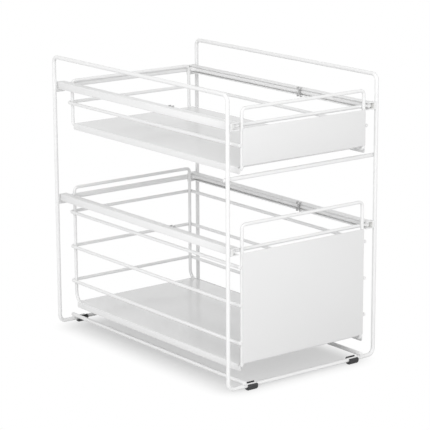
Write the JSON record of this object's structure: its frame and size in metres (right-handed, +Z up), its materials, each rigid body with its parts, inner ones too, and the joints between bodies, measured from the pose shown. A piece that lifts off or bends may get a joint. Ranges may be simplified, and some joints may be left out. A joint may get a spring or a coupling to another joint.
{
  "type": "under sink organizer",
  "caption": "Two-level under sink organizer: an open bent-wire frame on rubber feet with pull-out wire baskets that have sheet trays and fronts and slide on C-shaped rails.",
  "frame": {"origin": "on the floor under the feet, midway between the four posts", "axes": "+X to the right seen from the front, +Y from the front to the back, +Z up"},
  "size_m": [0.278, 0.4428, 0.4298],
  "materials": {
    "white_wire": "white powder coat, semi-gloss",
    "white_sheet": "white powder coat, semi-gloss",
    "black_rubber": "matt black",
    "white_nylon": "milky white",
    "grey_plastic": "satin grey"
  },
  "bodies": {
    "frame": {"back_base_wire": "white_wire", "back_left_foot": "black_rubber", "back_right_foot": "black_rubber", "front_base_wire": "white_wire", "front_cross_wire": "white_wire", "front_left_foot": "black_rubber", "front_right_foot": "black_rubber", "left_base_wire": "white_wire", "left_side_hoop": "white_wire", "lower_left_back_bracket": "white_sheet", "lower_left_front_bracket": "white_sheet", "lower_left_guide_clip": "grey_plastic", "lower_left_liner": "white_nylon", "lower_left_rail": "white_sheet", "lower_right_back_bracket": "white_sheet", "lower_right_front_bracket": "white_sheet", "lower_right_guide_clip": "grey_plastic", "lower_right_liner": "white_nylon", "lower_right_rail": "white_sheet", "right_base_wire": "white_wire", "right_side_hoop": "white_wire", "upper_left_back_bracket": "white_sheet", "upper_left_front_bracket": "white_sheet", "upper_left_guide_clip": "grey_plastic", "upper_left_liner": "white_nylon", "upper_left_rail": "white_sheet", "upper_right_back_bracket": "white_sheet", "upper_right_front_bracket": "white_sheet", "upper_right_guide_clip": "grey_plastic", "upper_right_liner": "white_nylon", "upper_right_rail": "white_sheet"},
    "upper_basket": {"upper_basket_back_hoop": "white_wire", "upper_basket_front_hoop": "white_wire", "upper_basket_front_panel": "white_sheet", "upper_basket_front_rim_wire": "white_wire", "upper_basket_left_bottom_wire": "white_wire", "upper_basket_right_bottom_wire": "white_wire", "upper_basket_ring_wire": "white_wire", "upper_basket_slide_rod": "white_wire", "upper_basket_tray": "white_sheet"},
    "lower_basket": {"lower_basket_back_hoop": "white_wire", "lower_basket_front_hoop": "white_wire", "lower_basket_front_panel": "white_sheet", "lower_basket_front_rim_wire": "white_wire", "lower_basket_left_bottom_wire": "white_wire", "lower_basket_low_ring_wire": "white_wire", "lower_basket_middle_ring_wire": "white_wire", "lower_basket_right_bottom_wire": "white_wire", "lower_basket_slide_rod": "white_wire", "lower_basket_top_ring_wire": "white_wire", "lower_basket_tray": "white_sheet"}
  },
  "joints": [
    {"name": "upper_basket_slide", "type": "slide", "parent": "frame", "child": "upper_basket", "axis": [0, -1, 0], "range_m": [0, 0.257]},
    {"name": "lower_basket_slide", "type": "slide", "parent": "frame", "child": "lower_basket", "axis": [0, -1, 0], "range_m": [0, 0.257]}
  ]
}
